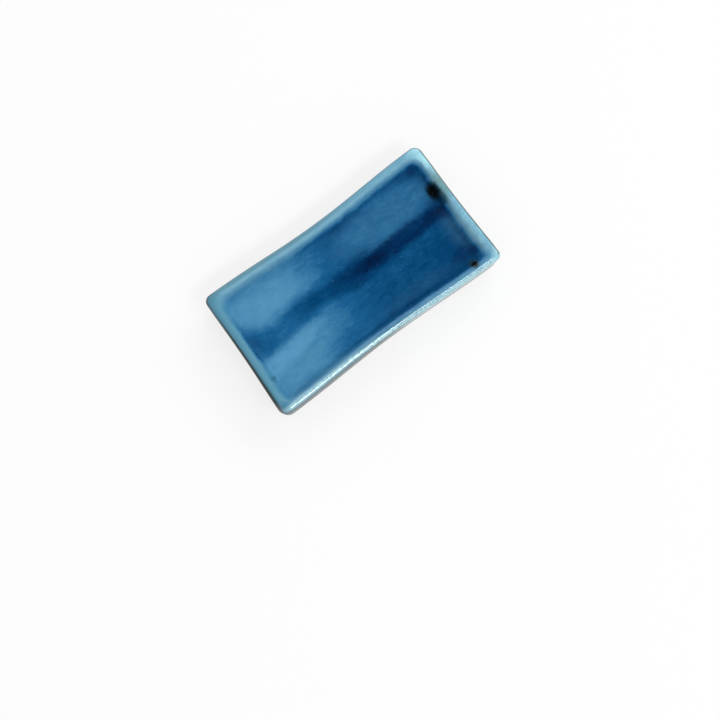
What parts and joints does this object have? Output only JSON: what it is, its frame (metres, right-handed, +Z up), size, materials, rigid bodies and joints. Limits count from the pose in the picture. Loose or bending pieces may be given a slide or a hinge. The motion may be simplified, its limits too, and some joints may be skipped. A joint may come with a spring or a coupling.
{
  "type": "chopstick rest",
  "caption": "Small rectangular dish-shaped chopstick rest in stoneware, with a rounded rim, a shallow well under translucent blue glaze and a recessed unglazed foot.",
  "frame": {"origin": "under the middle of the rest, on the level surface that its foot stands on", "axes": "+X along the length, towards the end with the large dark spot; +Y across the width; +Z up, out of the well"},
  "size_m": [0.0568, 0.03, 0.0085],
  "materials": {
    "bare_clay": "fired stoneware, bare, matt and faintly sandy",
    "thin_glaze": "glossy translucent glaze, pale aqua where it runs thin over the rim",
    "pooled_glaze": "glossy translucent glaze, deep blue where it pools, with milky drifts and fine bubbles",
    "iron_spot": "near-black melted iron spot, glossy"
  },
  "bodies": {
    "root": {"clay_body": "bare_clay", "glaze_coat": "thin_glaze", "glaze_pool": "pooled_glaze", "iron_spot_large": "iron_spot", "iron_spot_small": "iron_spot", "iron_speck": "iron_spot"}
  },
  "joints": []
}
